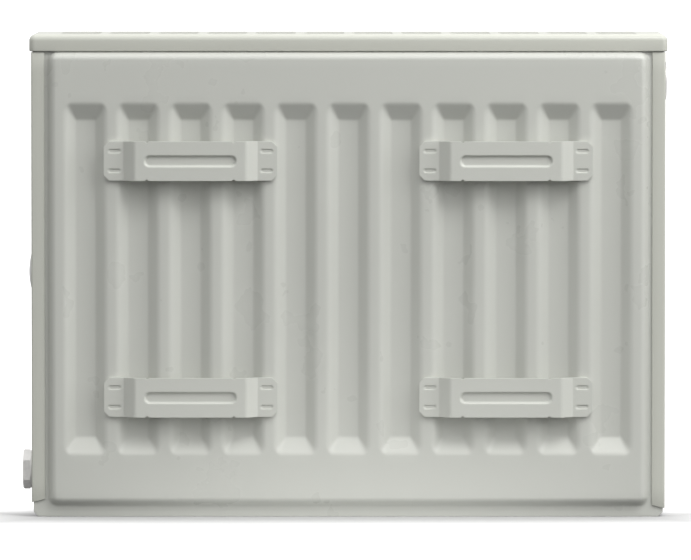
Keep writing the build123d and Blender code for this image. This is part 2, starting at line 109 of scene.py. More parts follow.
def metres(name, about, default):
    """A length property for the stage, given here in metres."""
    return FloatProperty(name=name, description=about, default=default, unit="LENGTH")


def amount(name, about, default):
    """A plain number, never below zero."""
    return FloatProperty(name=name, description=about, default=default, min=0)


def direction(name, about, default):
    """The way from the radiator to a light."""
    return FloatVectorProperty(name=name, description=about, default=default)


def degrees(name, about, default):
    """An angle property, given here in degrees."""
    return FloatProperty(name=name, description=about, default=math.radians(default), subtype="ANGLE")


def enamel_colour(name, about, default):
    """A linear colour property."""
    return FloatVectorProperty(
        name=name, description=about, default=default, size=3, subtype="COLOR", min=0, max=1)


class PressedSheetSettings(bpy.types.PropertyGroup):
    """Sizes of the pressed water channels."""
    sheet: millimetres("Sheet", "Thickness of the steel sheet", 1.25)
    pitch: millimetres("Pitch", "One water channel to the next", 100 / 3)
    trough_width: millimetres("Trough width", "Crest to crest across a trough", 25.6)
    header: millimetres("Header zone", "Seam edge to where the troughs begin", 40.0)
    side_angle: degrees("Side angle", "Slope of a trough's long sides", 40.0)
    end_angle: degrees("End angle", "Slope of a trough's ends", 27.0)
    floor_radius: millimetres("Floor radius", "Bend where a trough's side meets its floor", 2.0)
    crest_radius: millimetres("Crest radius", "Bend where a trough's side meets the crest", 6.0)
    side_seam: millimetres("Side seam", "Flat seam flange down each side", 9.3)
    end_seam: millimetres("End seam", "Flat seam flange along the top and the bottom", 7.0)
    edge_angle: degrees("Edge angle", "Slope of the raised field's edge", 58.0)
    edge_foot_radius: millimetres("Edge foot radius", "Bend where the edge leaves the flange", 1.5)
    edge_radius: millimetres("Edge radius", "Bend where the edge meets the field", 4.0)
    corner_radius: millimetres("Corner radius", "Corner of the raised field, at its foot", 6.5)
    corner_cut: millimetres("Corner cut", "Clipped corner of the seam flange", 3.0)
    step: millimetres("Step", "Spacing of the mesh across a bend", 0.9)


class StrapSettings(bpy.types.PropertyGroup):
    """Sizes of the hanging straps."""
    sheet: millimetres("Strip", "Thickness of the strip steel", 2.0)
    pad: millimetres("Pad", "Welded pad at each end", 13.4)
    ramp: millimetres("Ramp", "Width of the ramp up to the plateau", 7.0)
    bend: millimetres("Bend", "Radius on the inside of each bend", 1.2)
    corner: millimetres("Corner", "Clipped corner", 3.5)
    bead_length: millimetres("Bead length", "Pressed bead on the plateau", 59.0)
    bead_height: millimetres("Bead height", "Width of the pressed bead", 8.0)
    bead_depth: millimetres("Bead depth", "Depth of the pressed bead", 1.6)
    bead_wall: millimetres("Bead wall", "Width of the bead's sloping edge", 1.5)
    weld_length: millimetres("Weld length", "Length of a weld mark", 8.0)
    weld_height: millimetres("Weld height", "Width of a weld mark", 3.0)
    weld_depth: millimetres("Weld depth", "Depth of a weld mark", 0.6)
    weld_wall: millimetres("Weld wall", "Width of a weld mark's edge", 0.6)
    weld_spacing: millimetres("Weld spacing", "One weld mark to the other on a pad", 12.4)
    notch: millimetres("Notch", "Radius of the small notches over the bead's ends", 1.0)
    step: millimetres("Step", "Spacing of the mesh", 0.6)


class GrilleSettings(bpy.types.PropertyGroup):
    """Sizes of the slotted top grille."""
    sheet: millimetres("Sheet", "Thickness of the sheet", 0.8)
    fold: millimetres("Fold", "Radius of the fold round the top", 4.0)
    corner: millimetres("Corner", "Radius of the upright corners", 4.0)
    hem: millimetres("Hem", "Radius of the rolled lower edge of the skirt", 0.7)
    slot_width: millimetres("Slot width", "Width of a slot", 4.0)
    slot_length: millimetres("Slot length", "Length of a slot, along the radiator", 26.0)
    slot_gap: millimetres("Slot gap", "Plain sheet between the ends of two slots", 5.0)
    row_gap: millimetres("Row gap", "Plain rib between two rows of slots", 4.4)
    end_margin: millimetres("End margin", "Least plain sheet beyond a row's ends", 16.0)
    side_margin: millimetres("Side margin", "Least plain sheet beside the outer rows", 7.5)
    fold_steps: IntProperty(name="Fold steps", description="Faces round each fold", default=8, min=2)


class CoverSettings(bpy.types.PropertyGroup):
    """Sizes of the side covers."""
    sheet: millimetres("Sheet", "Thickness of the sheet", 0.8)
    bend: millimetres("Bend", "Outer radius of the long folds", 1.2)
    slant: millimetres("Slant", "How much higher a flange's free corner is cut than its fold", 2.0)
    hole_clearance: millimetres("Hole clearance", "Gap round a tee", 1.0)
    cap_hole: millimetres("Cap hole", "Radius of the blanking cap's hole", 10.2)
    rim: millimetres("Rim", "Rounding of the cut edges", 0.3)
    step: millimetres("Step", "Spacing of the mesh round a cover", 6.0)


class FinishSettings(bpy.types.PropertyGroup):
    """Colours and textures of the finishes."""
    panel: enamel_colour("Panel enamel", "Baked enamel of the water panels", (0.597, 0.607, 0.562))
    strap: enamel_colour("Strap enamel", "Enamel over the strip steel", (0.615, 0.626, 0.578))
    cover: enamel_colour("Cover enamel", "Powder coat of the grille and side covers", (0.594, 0.603, 0.541))
    fin: enamel_colour("Fin enamel", "Thin enamel of the convectors", (0.500, 0.510, 0.480))
    plastic: enamel_colour("Plastic", "Moulded plastic parts", (0.780, 0.780, 0.770))
    seal: enamel_colour("Seal", "Pale sealing rings", (0.740, 0.740, 0.710))
    nickel: enamel_colour("Nickel", "Plated plugs", (0.720, 0.712, 0.700))
    spring: enamel_colour("Spring", "Plated spring steel", (0.480, 0.480, 0.470))
    peel: amount("Orange peel", "Strength of the enamel's waviness", 0.05)
    gloss: amount("Roughness", "Roughness of the enamel", 0.30)


class StageSettings(bpy.types.PropertyGroup):
    """The floor, the light and the camera."""
    distance: metres("Distance", "Camera to the wall-side crests", 5.0)
    elevation: degrees("Elevation", "How far the camera looks down", 3.0)
    width: millimetres("Width", "How much of the crest plane the picture spans", 438.2)
    aim_x: millimetres("Aim across", "Where the camera aims, right of the middle", -1.8)
    aim_z: millimetres("Aim height", "How high the camera aims", 150.9)
    sky_low: amount("Low sky", "Brightness of the light at eye height", 0.65)
    sky_high: amount("High sky", "Brightness of the light overhead", 1.37)
    sky_seen: amount("Seen sky", "How bright the sky looks to the camera", 1.1)
    key: amount("Key", "Power of the smaller soft light, in watts", 7.0)
    key_way: direction("Key way", "Where the smaller light stands", (0.35, -0.50, 0.79))
    key_size: metres("Key size", "Side of the smaller light", 0.5)
    side: amount("Side", "Power of the light on the right, in watts", 9.8)
    side_way: direction("Side way", "Where the light on the right stands", (0.80, -0.40, 0.45))
    side_size: metres("Side size", "Side of the light on the right", 1.2)
    light_distance: metres("Light distance", "Either light to the radiator", 1.6)
    floor_half: metres("Floor half", "Middle of the floor to its edge", 40.0)
    seen_white: amount("Floor white", "How white the floor looks", 0.53)
    # The glows below are painted light: an emission on the floor that only the camera sees. There is none at
    # the radiator's foot, more in front, and most behind the radiator, where it paints over the radiator's
    # cast shadow.
    foot_glow: amount("Foot glow", "Light that the floor adds at the radiator's foot", 0.0)
    front_glow: amount("Front glow", "Light that the floor adds in front of it", 0.55)
    back_glow: amount("Back glow", "Light that the floor adds behind it", 0.9)
    glow_x: metres("Glow end", "How far from the middle the glow starts, sideways", 0.19)
    glow_y: metres("Glow line", "How far in front of the middle the glow starts", 0.05)
    glow_reach: metres("Glow reach", "How soon the glow in front is full", 0.075)
    back_from: metres("Back from", "Where the glow behind starts", -0.04)
    back_to: metres("Back to", "Where the glow behind is full", 0.03)
    near_bounce: amount("Near bounce", "Reflectance of the floor near by", 0.62)
    far_bounce: amount("Far bounce", "Reflectance of the floor far off", 0.0)
    near: metres("Near", "How far the floor counts as near by", 0.05)
    far: metres("Far", "Where the floor counts as far off", 0.27)


class RadiatorSettings(bpy.types.PropertyGroup):
    """Everything that a user would change."""
    pressed: PointerProperty(type=PressedSheetSettings)
    strap: PointerProperty(type=StrapSettings)
    grille: PointerProperty(type=GrilleSettings)
    cover: PointerProperty(type=CoverSettings)
    finish: PointerProperty(type=FinishSettings)
    stage: PointerProperty(type=StageSettings)


# ------------------------------------------------------------------ mesh helpers

def arc_ramp(u, rise, angle, foot_radius, top_radius):
    """Height of a slope that starts at u = 0 and climbs by rise, with both of its bends rounded."""
    slope = math.tan(angle)
    foot = foot_radius * math.tan(angle / 2)
    top = top_radius * math.tan(angle / 2)
    edge = rise / slope
    height = np.clip(slope * u, 0, rise)
    in_foot = (u > -foot) & (u < foot * math.cos(angle))
    hollow = foot_radius - np.sqrt(np.maximum(foot_radius ** 2 - (u + foot) ** 2, 0))
    height = np.where(in_foot, hollow, height)
    in_top = (u > edge - top * math.cos(angle)) & (u < edge + top)
    rounded = rise - top_radius + np.sqrt(np.maximum(top_radius ** 2 - (edge + top - u) ** 2, 0))
    return np.where(in_top, rounded, height)


def smooth_step(value):
    """A smooth climb from 0 to 1 as value goes from 0 to 1."""
    t = np.clip(value, 0, 1)
    return t * t * (3 - 2 * t)


def spaced(start, end, step):
    """Evenly spaced places from start up to end, without the end itself."""
    count = max(1, round((end - start) / step))
    return [start + (end - start) * i / count for i in range(count)]


def grid_mesh(name, points, keep=None):
    """A mesh from a grid of points, shaped (rows, columns, 3); keep marks the faces that stay."""
    rows, columns = points.shape[:2]
    index = np.arange(rows * columns).reshape(rows, columns)
    quads = np.stack([index[:-1, :-1], index[:-1, 1:], index[1:, 1:], index[1:, :-1]], axis=-1)
    if keep is not None:
        quads = quads[keep]
    mesh = bpy.data.meshes.new(name)
    mesh.from_pydata(points.reshape(-1, 3).tolist(), [], quads.reshape(-1, 4).tolist())
    work = bmesh.new()
    work.from_mesh(mesh)
    loose = [v for v in work.verts if not v.link_faces]
    bmesh.ops.delete(work, geom=loose, context="VERTS")
    work.to_mesh(mesh)
    work.free()
    return mesh


def place_mesh(name, mesh):
    """An object for a mesh that already lies in its place."""
    piece = bpy.data.objects.new(name, mesh)
    bpy.context.scene.collection.objects.link(piece)
    return piece


def apply_modifiers(piece):
    """Turn a piece and its modifiers into one plain mesh."""
    depsgraph = bpy.context.evaluated_depsgraph_get()
    finished = bpy.data.meshes.new_from_object(piece.evaluated_get(depsgraph))
    piece.modifiers.clear()
    piece.data = finished
    finished.name = piece.name
    return piece


def smooth_shade(mesh, limit=35.0):
    """Smooth shading, with edges sharper than limit degrees left crisp."""
    work = bmesh.new()
    work.from_mesh(mesh)
    for face in work.faces:
        face.smooth = True
    for edge in work.edges:
        sharp = len(edge.link_faces) == 2 and edge.calc_face_angle(0) > math.radians(limit)
        edge.smooth = not sharp
    work.to_mesh(mesh)
    work.free()


def thicken(piece, thickness, rim=0.0):
    """Give an open surface its wall, on the side away from its normals, and round its cut edges."""
    wall = piece.modifiers.new("wall", "SOLIDIFY")
    wall.thickness = thickness
    wall.offset = -1
    wall.use_even_offset = True
    wall.use_quality_normals = True
    if rim:
        edge = piece.modifiers.new("rim", "BEVEL")
        edge.width = rim
        edge.segments = 2
        edge.limit_method = "ANGLE"
        edge.angle_limit = math.radians(60)
    return apply_modifiers(piece)


def bent_line(points, radii, steps):
    """A polyline through points with its corners turned into arcs: a list of (x, y)."""
    line = [points[0]]
    for before, corner, after, radius in zip(points, points[1:], points[2:], radii):
        a = (Vector(before) - Vector(corner)).normalized()
        b = (Vector(after) - Vector(corner)).normalized()
        half = a.angle(b) / 2
        reach = radius / math.tan(half)
        centre = Vector(corner) + (a + b).normalized() * (radius / math.sin(half))
        start = Vector(corner) + a * reach - centre
        end = Vector(corner) + b * reach - centre
        turn = start.angle_signed(end)
        for i in range(steps + 1):
            spoke = Matrix.Rotation(-turn * i / steps, 2) @ start
            line.append(tuple(centre + spoke))
    line.append(points[-1])
    return line


def dense_line(line, step):
    """The same polyline with its segments cut up to about step."""
    dense = []
    for a, b in zip(line, line[1:]):
        length = math.dist(a, b)
        if length < SAME_PLACE:
            continue
        count = max(1, round(length / step))
        dense += [(a[0] + (b[0] - a[0]) * i / count, a[1] + (b[1] - a[1]) * i / count) for i in range(count)]
    return dense + [line[-1]]


def finish_piece(piece, body, slot, *nodes):
    """Let a piece ride on its body, take its finish and stand for its CAD nodes."""
    piece.data.materials.clear()
    piece.data.materials.append(bpy.data.materials[slot])
    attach(piece, body)
    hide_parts(*nodes)


# ------------------------------------------------------------------ pressed sheets

def trough_places(s, half_length):
    """The middle of each trough along the panel."""
    count = int(2 * half_length / s.pitch + 0.001) - 1
    return [(i - (count - 1) / 2) * s.pitch for i in range(count)]


def mirrored_lines(lines):
    """Grid lines on one side of zero, given from the middle outwards, mirrored to both sides."""
    ordered = sorted(set(round(v, 7) for v in lines))
    return [-v for v in reversed(ordered) if v > 0] + ordered


def pressed_grid(s, half_length, half_height, rise):
    """Grid lines along and up a sheet, closer together wherever it bends."""
    floor = s.trough_width / 2 - rise / math.tan(s.side_angle)
    wall_end = s.trough_width / 2 + s.crest_radius * math.tan(s.side_angle / 2)
    foot = s.floor_radius * math.tan(s.side_angle / 2)
    along = []
    for middle in trough_places(s, half_length):
        for way in (-1, 1):
            wall = spaced(floor - foot, wall_end, s.step) + [wall_end]
            along += [middle + way * v for v in wall] + [middle]
    slope = rise / math.tan(s.edge_angle) + s.edge_radius * math.tan(s.edge_angle / 2)
    edge_from = half_length - s.side_seam - slope
    along += spaced(edge_from, half_length - s.side_seam + s.edge_foot_radius, s.step * 0.75)
    along += spaced(half_length - s.side_seam + s.edge_foot_radius, half_length, s.step * 1.5) + [half_length]
    along = [v for v in along if v >= 0]

    end_run = rise / math.tan(s.end_angle)
    end_top = half_height - s.header
    bend = s.crest_radius * math.tan(s.end_angle / 2)
    up = spaced(0, end_top - end_run - 2 * s.floor_radius, 15 * s.step)
    up += spaced(end_top - end_run - 2 * s.floor_radius, end_top + bend, s.step)
    edge_from = half_height - s.end_seam - slope
    up += spaced(end_top + bend, edge_from, 5 * s.step)
    up += spaced(edge_from, half_height - s.end_seam + s.edge_foot_radius, s.step * 0.75)
    up += spaced(half_height - s.end_seam + s.edge_foot_radius, half_height, s.step * 1.5) + [half_height]
    return np.array(mirrored_lines(along)), np.array(mirrored_lines(up))


def pressed_height(s, x, z, half_length, half_height, rise):
    """How far the sheet's outer face stands out of the seam flange's outer face."""
    corner_x = np.maximum(np.abs(x) - (half_length - s.side_seam - s.corner_radius), 0)
    corner_z = np.maximum(np.abs(z) - (half_height - s.end_seam - s.corner_radius), 0)
    straight = np.minimum(half_length - s.side_seam - np.abs(x), half_height - s.end_seam - np.abs(z))
    round_corner = s.corner_radius - np.hypot(corner_x, corner_z)
    inward = np.where((corner_x > 0) & (corner_z > 0), round_corner, straight)
    field = arc_ramp(inward, rise, s.edge_angle, s.edge_foot_radius, s.edge_radius)

    floor_half = s.trough_width / 2 - rise / math.tan(s.side_angle)
    floor_end = half_height - s.header - rise / math.tan(s.end_angle)
    end_wall = arc_ramp(np.abs(z) - floor_end, rise, s.end_angle, s.floor_radius, s.crest_radius) / rise
    depth = np.zeros_like(field)
    for middle in trough_places(s, half_length):
        side_wall = arc_ramp(
            np.abs(x - middle) - floor_half, rise, s.side_angle, s.floor_radius, s.crest_radius) / rise
        wall = (side_wall ** TROUGH_BLEND + end_wall ** TROUGH_BLEND) ** (1 / TROUGH_BLEND)
        depth = np.maximum(depth, rise * (1 - np.minimum(wall, 1)))
    return field - depth


def pressed_sheet(s, panel, half):
    """One pressed sheet, in the place of its CAD node."""
    node = f"{panel}_panel_{half}_sheet"
    low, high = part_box(node)
    outwards = OUTWARDS[panel, half]
    half_length = (high.x - low.x) / 2
    half_height = (high.z - low.z) / 2
    rise = (high.y - low.y) - s.sheet
    along, up = pressed_grid(s, half_length, half_height, rise)
    x, z = np.meshgrid(along, up)
    height = pressed_height(s, x, z, half_length, half_height, rise)

    gap_x = half_length - np.abs(x)
    gap_z = half_height - np.abs(z)
    cut = np.maximum(s.corner_cut - gap_x - gap_z, 0)
    outside = gap_x + gap_z < s.corner_cut + 1e-6
    gone = outside[:-1, :-1] & outside[:-1, 1:] & outside[1:, 1:] & outside[1:, :-1]
    x = x - np.sign(x) * cut / 2
    z = z - np.sign(z) * cut / 2

    seam_y = high.y if outwards < 0 else low.y
    points = np.stack([
        x + (low.x + high.x) / 2,
        seam_y + outwards * (s.sheet + height),
        z + (low.z + high.z) / 2,
    ], axis=-1)
    if outwards > 0:
        points = points[:, ::-1]
        gone = gone[:, ::-1]
    piece = place_mesh(f"{panel}_{half}_pressing", grid_mesh(node, points, ~gone))
    thicken(piece, s.sheet, rim=0.2 * MM)
    smooth_shade(piece.data)
    finish_piece(piece, "radiator", "radiator_enamel", node)


# ------------------------------------------------------------------ hanging straps

def strap_path(s, half, proud):
    """The strap's outer face from end to end, as (x, height) with the bends as arcs."""
    gap = proud - s.sheet
    lean = s.sheet * math.tan(math.atan2(gap, s.ramp) / 2)
    foot = half - s.pad + lean
    top = half - s.pad - s.ramp + lean
    corners = [
        (-half, s.sheet), (-foot, s.sheet), (-top, proud),
        (top, proud), (foot, s.sheet), (half, s.sheet)]
    radii = [s.bend, s.bend + s.sheet, s.bend + s.sheet, s.bend]
    return np.array(dense_line(bent_line(corners, radii, BEND_STEPS), s.step))


def slot_distance(x, y, length, height):
    """Distance inside (positive) or outside (negative) a round-ended slot."""
    reach = (length - height) / 2
    return height / 2 - np.hypot(np.maximum(np.abs(x) - reach, 0), y)


def strap_mesh(s, name, half, half_height, proud):
    """The strap's outer face lying down: x along, y across and z out of the panel."""
    path = strap_path(s, half, proud)
    ahead = np.gradient(path, axis=0)
    ahead /= np.linalg.norm(ahead, axis=1)[:, None]
    normal = np.stack([-ahead[:, 1], ahead[:, 0]], axis=-1)

    rows = round(2 * half_height / (s.step * 0.8))
    across = np.linspace(-1, 1, rows + 1)
    px, side = np.meshgrid(path[:, 0], across)
    reach = half_height - np.maximum(np.abs(px) - (half - s.corner), 0)
    notch_x = s.bead_length / 2 - s.bead_height / 4
    into_notch = s.notch ** 2 - (np.abs(px) - notch_x) ** 2
    reach -= np.sqrt(np.maximum(into_notch, 0))
    y = side * reach

    bead = s.bead_depth * smooth_step(slot_distance(px, y, s.bead_length, s.bead_height) / s.bead_wall)
    weld_x = half - s.pad / 2
    inside = slot_distance(np.abs(px) - weld_x, np.abs(y) - s.weld_spacing / 2, s.weld_length, s.weld_height)
    pressed = bead + s.weld_depth * smooth_step(inside / s.weld_wall)
    points = np.stack([
        px - normal[:, 0][None, :] * pressed,
        y,
        path[:, 1][None, :] - normal[:, 1][None, :] * pressed,
    ], axis=-1)
    return grid_mesh(name, points)


def hanging_strap(s, level, side):
    """One strap, in the place of its CAD node."""
    node = f"{level}_{side}_hanging_strap"
    low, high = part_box(node)
    mesh = strap_mesh(s, node, (high.x - low.x) / 2, (high.z - low.z) / 2, high.y - low.y)
    place = Matrix.Translation(((low.x + high.x) / 2, high.y, (low.z + high.z) / 2))
    mesh.transform(place @ Matrix.Rotation(math.pi / 2, 4, "X"))
    piece = place_mesh(f"{level}_{side}_strap", mesh)
    thicken(piece, s.sheet, rim=0.25 * MM)
    smooth_shade(piece.data)
    finish_piece(piece, "radiator", "strap_enamel", node)


# ------------------------------------------------------------------ geometry node helpers

def geometry_tree(name, inputs):
    """A geometry node tree with named inputs, and a function that adds nodes to it."""
    tree = bpy.data.node_groups.new(name, "GeometryNodeTree")
    tree.interface.new_socket("Geometry", in_out="INPUT", socket_type="NodeSocketGeometry")
    for label, kind, default in inputs:
        socket = tree.interface.new_socket(label, in_out="INPUT", socket_type=kind)
        if default is not None:
            socket.default_value = default
    tree.interface.new_socket("Geometry", in_out="OUTPUT", socket_type="NodeSocketGeometry")
    start = tree.nodes.new("NodeGroupInput")
    end = tree.nodes.new("NodeGroupOutput")

    def add(kind, links=(), **settings):
        node = tree.nodes.new(kind)
        for label, value in settings.items():
            setattr(node, label, value)
        for socket, value in dict(links).items():
            if isinstance(value, bpy.types.NodeSocket):
                tree.links.new(value, node.inputs[socket])
            else:
                node.inputs[socket].default_value = value
        return node

    return tree, start, end, add


def end_tree(tree, end, add, geometry, material):
    """Finish a tree: real geometry with its material."""
    real = add("GeometryNodeRealizeInstances", {"Geometry": geometry})
    painted = add("GeometryNodeSetMaterial", {"Geometry": real.outputs[0], "Material": material})
    tree.links.new(painted.outputs[0], end.inputs[0])
    return tree


def run_tree(piece, tree, values):
    """Run a node tree on a piece with these input values, and keep the result as its mesh."""
    modifier = piece.modifiers.new(tree.name, "NODES")
    modifier.node_group = tree
    for item in tree.interface.items_tree:
        if item.in_out == "INPUT" and item.name in values:
            modifier[item.identifier] = values[item.name]
    return apply_modifiers(piece)


# ------------------------------------------------------------------ top grille

def rounded_ring(half_x, half_y, radius, z, steps):
    """A level ring of points round a rounded rectangle."""
    ring = []
    for corner in range(4):
        sign_x = (1, -1, -1, 1)[corner]
        sign_y = (1, 1, -1, -1)[corner]
        for i in range(steps + 1):
            turn = math.pi / 2 * (corner + i / steps)
            ring.append((
                sign_x * (half_x - radius) + radius * math.cos(turn),
                sign_y * (half_y - radius) + radius * math.sin(turn),
                z,
            ))
    return ring


def lid_outline(s, low_z, high_z):
    """How far each ring of the lid is set in from the skirt's face, and its height, from the hem up."""
    line = [(s.sheet, low_z + s.hem * 0.15)]
    for i in range(5):
        turn = math.pi / 2 * i / 4
        line.append((s.hem - s.hem * math.sin(turn), low_z + s.hem - s.hem * math.cos(turn)))
    for i in range(s.fold_steps + 1):
        turn = math.pi / 2 * i / s.fold_steps
        line.append((s.fold - s.fold * math.cos(turn), high_z - s.fold + s.fold * math.sin(turn)))
    return line


def slot_tree(material):
    """Cuts rows of round-ended slots through a sheet."""
    tree, start, end, add = geometry_tree("slotted_sheet", [
        ("Rows", "NodeSocketInt", 9),
        ("Slots", "NodeSocketInt", 12),
        ("Row pitch", "NodeSocketFloat", 0.0084),
        ("Slot pitch", "NodeSocketFloat", 0.031),
        ("Width", "NodeSocketFloat", 0.004),
        ("Length", "NodeSocketFloat", 0.026),
        ("Depth", "NodeSocketFloat", 0.005),
        ("Middle", "NodeSocketVector", None),
    ])
    value = start.outputs

    outline = add(
        "GeometryNodeCurvePrimitiveQuadrilateral", {"Width": value["Length"], "Height": value["Width"]})
    half = add("ShaderNodeMath", {0: value["Width"], 1: 0.499}, operation="MULTIPLY")
    rounded = add(
        "GeometryNodeFilletCurve", {"Curve": outline.outputs[0], "Radius": half.outputs[0], "Count": 5},
        mode="POLY")
    face = add("GeometryNodeFillCurve", {"Curve": rounded.outputs[0]}, mode="NGONS")
    wall = add(
        "GeometryNodeExtrudeMesh",
        {"Mesh": face.outputs[0], "Offset Scale": value["Depth"], "Individual": False})
    floor = add("GeometryNodeFlipFaces", {"Mesh": face.outputs[0]})
    both = add("GeometryNodeJoinGeometry")
    for part in (wall, floor):
        tree.links.new(part.outputs[0], both.inputs[0])
    cutter = add("GeometryNodeMergeByDistance", {"Geometry": both.outputs[0], "Distance": 1e-6})

    def run_length(count, pitch):
        gaps = add("ShaderNodeMath", {0: count, 1: 1.0}, operation="SUBTRACT")
        return add("ShaderNodeMath", {0: gaps.outputs[0], 1: pitch}, operation="MULTIPLY").outputs[0]

    places = add("GeometryNodeMeshGrid", {
        "Size X": run_length(value["Slots"], value["Slot pitch"]),
        "Size Y": run_length(value["Rows"], value["Row pitch"]),
        "Vertices X": value["Slots"],
        "Vertices Y": value["Rows"],
    })
    cutters = add(
        "GeometryNodeInstanceOnPoints", {"Points": places.outputs[0], "Instance": cutter.outputs[0]})
    moved = add("GeometryNodeTransform", {"Geometry": cutters.outputs[0], "Translation": value["Middle"]})
    solid = add("GeometryNodeRealizeInstances", {"Geometry": moved.outputs[0]})
    cut = add(
        "GeometryNodeMeshBoolean", {"Mesh 1": value["Geometry"], "Mesh 2": solid.outputs[0]},
        operation="DIFFERENCE", solver="EXACT")
    return end_tree(tree, end, add, cut.outputs[0], material)


def fitting_count(room, size, gap):
    """How many things of one size fit in the room with a gap between them."""
    return int((room + gap) / (size + gap))


def top_grille(s):
    """The slotted lid, with its rolled skirt."""
    low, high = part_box("top_grille")
    half = (high - low) / 2
    middle = (high + low) / 2
    rings = [
        [(x + middle.x, y + middle.y, z) for x, y, z in rounded_ring(
            half.x - inset, half.y - inset, max(s.corner - inset, 0.4 * MM), z, s.fold_steps)]
        for inset, z in lid_outline(s, low.z, high.z)
    ]
    count = len(rings[0])
    index = [list(range(row * count, (row + 1) * count)) for row in range(len(rings))]
    faces = [
        (below[i], below[(i + 1) % count], above[(i + 1) % count], above[i])
        for below, above in zip(index, index[1:])
        for i in range(count)
    ]
    faces.append(tuple(index[-1]))
    mesh = bpy.data.meshes.new("top_grille")
    mesh.from_pydata([p for ring in rings for p in ring], [], faces)
    piece = place_mesh("slotted_grille", mesh)
    thicken(piece, s.sheet)
    run_tree(piece, slot_tree(bpy.data.materials["cover_enamel"]), {
        "Rows": fitting_count(2 * (half.y - s.side_margin), s.slot_width, s.row_gap),
        "Slots": fitting_count(2 * (half.x - s.end_margin), s.slot_length, s.slot_gap),
        "Row pitch": s.slot_width + s.row_gap,
        "Slot pitch": s.slot_length + s.slot_gap,
        "Width": s.slot_width,
        "Length": s.slot_length,
        "Depth": 3 * s.sheet,
        "Middle": (middle.x, middle.y, high.z - 2 * s.sheet),
    })
    smooth_shade(piece.data, 30)
    finish_piece(piece, "grille", "cover_enamel", "top_grille")


# ------------------------------------------------------------------ side covers

def cylinder_mesh(work, radius, start, end, steps=64):
    """Add a cylinder from start to end, both ends closed, to a bmesh."""
    axis = Vector(end) - Vector(start)
    turn = axis.to_track_quat("Z", "Y").to_matrix().to_4x4()
    place = Matrix.Translation((Vector(start) + Vector(end)) / 2) @ turn
    bmesh.ops.create_cone(
        work, cap_ends=True, segments=steps, radius1=radius, radius2=radius, depth=axis.length, matrix=place)


def cut_holes(piece, holes):
    """Cut round holes, each (radius, start, end), through a closed piece."""
    work = bmesh.new()
    for radius, start, end in holes:
        cylinder_mesh(work, radius, start, end)
    mesh = bpy.data.meshes.new("hole_cutter")
    work.to_mesh(mesh)
    work.free()
    cutter = place_mesh("hole_cutter", mesh)
    cut = piece.modifiers.new("holes", "BOOLEAN")
    cut.object = cutter
    cut.solver = "EXACT"
    apply_modifiers(piece)
    bpy.data.objects.remove(cutter)


def side_cover(s, side):
    """One U-shaped cover with its tapping holes and, on the left, the cap's hole."""
    node = f"{side}_side_cover"
    low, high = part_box(node)
    way = {"left": -1, "right": 1}[side]
    flange = high.x - low.x
    half = (high.y - low.y) / 2
    corners = [(0, -half), (flange, -half), (flange, half), (0, half)]
    section = dense_line(bent_line(corners, [s.bend, s.bend], BEND_STEPS), s.step)
    inner_x = low.x if side == "right" else high.x
    middle_y = (low.y + high.y) / 2
    points = np.array([
        [(inner_x + way * x, middle_y + y, z + (row == 0) * s.slant * (1 - x / flange)) for x, y in section]
        for row, z in enumerate(np.linspace(low.z, high.z, COVER_ROWS))
    ])
    if side == "left":
        points = points[:, ::-1]
    piece = place_mesh(f"{side}_cover", grid_mesh(node, points))
    thicken(piece, s.sheet, rim=s.rim)
    holes = []
    for level in LEVELS:
        tee_low, tee_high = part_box(f"{level}_{side}_tee")
        holes.append(((tee_high.z - tee_low.z) / 2 + s.hole_clearance, (tee_low.z + tee_high.z) / 2))
    if side == "left":
        cap_low, cap_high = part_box("side_cover_cap")
        holes.append((s.cap_hole, (cap_low.z + cap_high.z) / 2))
    outer_x = inner_x + way * flange
    start_x, end_x = outer_x - way * CUT_REACH, outer_x + way * CUT_REACH
    cut_holes(piece, [(radius, (start_x, middle_y, z), (end_x, middle_y, z)) for radius, z in holes])
    smooth_shade(piece.data)
    finish_piece(piece, f"{side}_cover", "cover_enamel", node)


# ------------------------------------------------------------------ materials

def node_tree(material):
    """A material's empty node tree with its shader and output."""
    material.use_nodes = True
    tree = material.node_tree
    tree.nodes.clear()
    output = tree.nodes.new("ShaderNodeOutputMaterial")
    shader = tree.nodes.new("ShaderNodeBsdfPrincipled")
    tree.links.new(shader.outputs["BSDF"], output.inputs["Surface"])
    return tree, shader


def group_tree(name, inputs, outputs):
    """A shader node group with named sockets, and its two ends."""
    tree = bpy.data.node_groups.new(name, "ShaderNodeTree")
    for label, kind, default in inputs:
        socket = tree.interface.new_socket(label, in_out="INPUT", socket_type=kind)
        socket.default_value = default
    for label, kind in outputs:
        tree.interface.new_socket(label, in_out="OUTPUT", socket_type=kind)
    return tree, tree.nodes.new("NodeGroupInput"), tree.nodes.new("NodeGroupOutput")


def noise(tree, scale, detail=2.0, roughness=0.5):
    """The value of a noise texture on the object's own coordinates."""
    place = tree.nodes.new("ShaderNodeTexCoord")
    texture = tree.nodes.new("ShaderNodeTexNoise")
    texture.inputs["Scale"].default_value = scale
    texture.inputs["Detail"].default_value = detail
    texture.inputs["Roughness"].default_value = roughness
    tree.links.new(place.outputs["Object"], texture.inputs["Vector"])
    return texture.outputs["Fac"]


def remap(tree, value, source, target, smooth=False):
    """A value carried from one (low, high) range into another, and held at its ends."""
    node = tree.nodes.new("ShaderNodeMapRange")
    if smooth:
        node.interpolation_type = "SMOOTHSTEP"
    tree.links.new(value, node.inputs["Value"])
    for label, number in zip(("From Min", "From Max", "To Min", "To Max"), (*source, *target)):
        node.inputs[label].default_value = number
    return node.outputs["Result"]


def maths(tree, operation, *values):
    """A Math node; each value is a socket or a number."""
    node = tree.nodes.new("ShaderNodeMath")
    node.operation = operation
    for socket, value in zip(node.inputs, values):
        if isinstance(value, (int, float)):
            socket.default_value = value
        else:
            tree.links.new(value, socket)
    return node.outputs[0]


